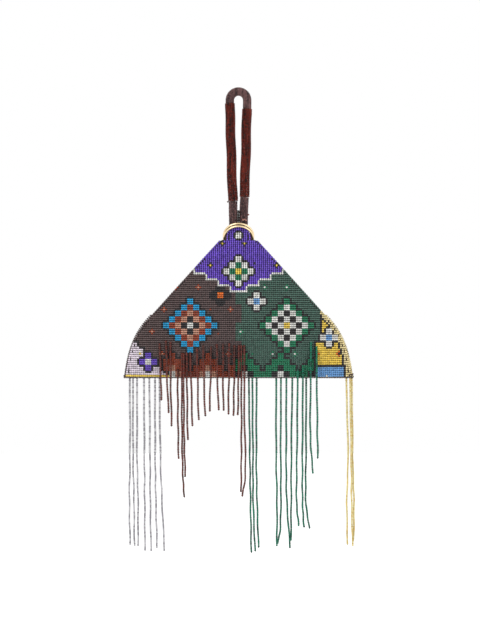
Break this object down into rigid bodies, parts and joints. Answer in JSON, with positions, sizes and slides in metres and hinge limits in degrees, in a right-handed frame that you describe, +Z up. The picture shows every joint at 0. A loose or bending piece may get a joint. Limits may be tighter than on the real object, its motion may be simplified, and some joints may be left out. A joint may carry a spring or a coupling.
{
  "type": "beaded medicine bag",
  "caption": "Flat pouch of beaded panels with a neck closed by metal rings, a looped beaded rope handle and a long fringe of bead strands.",
  "frame": {"origin": "where the inside of the handle's top bend bears on the peg or hand that holds it", "axes": "+Z up along the hanging bag, -Y out of the patterned front, +X to the right as the front is seen"},
  "size_m": [0.231, 0.0262, 0.4643],
  "materials": {
    "beadwork": "glossy seed beads in a charted pattern",
    "taupe_beads": "glossy seed beads",
    "lining_cloth": "matt woven",
    "edging_beads": "glossy seed beads",
    "cotton_rope": "matt twisted cotton",
    "mauve_beads": "satin seed beads",
    "oxblood_beads": "high gloss seed beads",
    "gold": "polished",
    "white_beads": "pearly seed beads",
    "brown_beads": "glossy seed beads",
    "green_beads": "glossy seed beads",
    "yellow_beads": "glossy seed beads"
  },
  "bodies": {
    "bag": {"front_panel": "beadwork", "back_panel": "taupe_beads", "front_lining": "lining_cloth", "back_lining": "lining_cloth", "left_seam": "edging_beads", "right_seam": "edging_beads", "bottom_seam": "edging_beads", "handle_core": "cotton_rope", "handle_top_beads": "mauve_beads", "left_grip_beads": "oxblood_beads", "right_grip_beads": "oxblood_beads", "left_end_beads": "mauve_beads", "right_end_beads": "mauve_beads", "white_strand_1": "white_beads", "white_strand_2": "white_beads", "white_strand_3": "white_beads", "white_strand_4": "white_beads", "white_strand_5": "white_beads", "white_strand_6": "white_beads", "white_strand_7": "white_beads", "brown_strand_1": "brown_beads", "brown_strand_2": "brown_beads", "brown_strand_3": "brown_beads", "brown_strand_4": "brown_beads", "brown_strand_5": "brown_beads", "brown_strand_6": "brown_beads", "brown_strand_7": "brown_beads", "brown_strand_8": "brown_beads", "brown_strand_9": "brown_beads", "brown_strand_10": "brown_beads", "brown_strand_11": "brown_beads", "brown_strand_12": "brown_beads", "brown_strand_13": "brown_beads", "brown_strand_14": "brown_beads", "brown_strand_15": "brown_beads", "brown_strand_16": "brown_beads", "brown_strand_17": "brown_beads", "brown_strand_18": "brown_beads", "green_strand_1": "green_beads", "green_strand_2": "green_beads", "green_strand_3": "green_beads", "green_strand_4": "green_beads", "green_strand_5": "green_beads", "green_strand_6": "green_beads", "green_strand_7": "green_beads", "green_strand_8": "green_beads", "green_strand_9": "green_beads", "green_strand_10": "green_beads", "green_strand_11": "green_beads", "green_strand_12": "green_beads", "yellow_strand_1": "yellow_beads", "yellow_strand_2": "yellow_beads", "yellow_strand_3": "yellow_beads"},
    "closing_rings": {"upper_ring": "gold", "lower_ring": "gold"}
  },
  "joints": [
    {"name": "rings_slide", "type": "slide", "parent": "bag", "child": "closing_rings", "axis": [0, 0, 1], "range_m": [0, 0.07]}
  ]
}
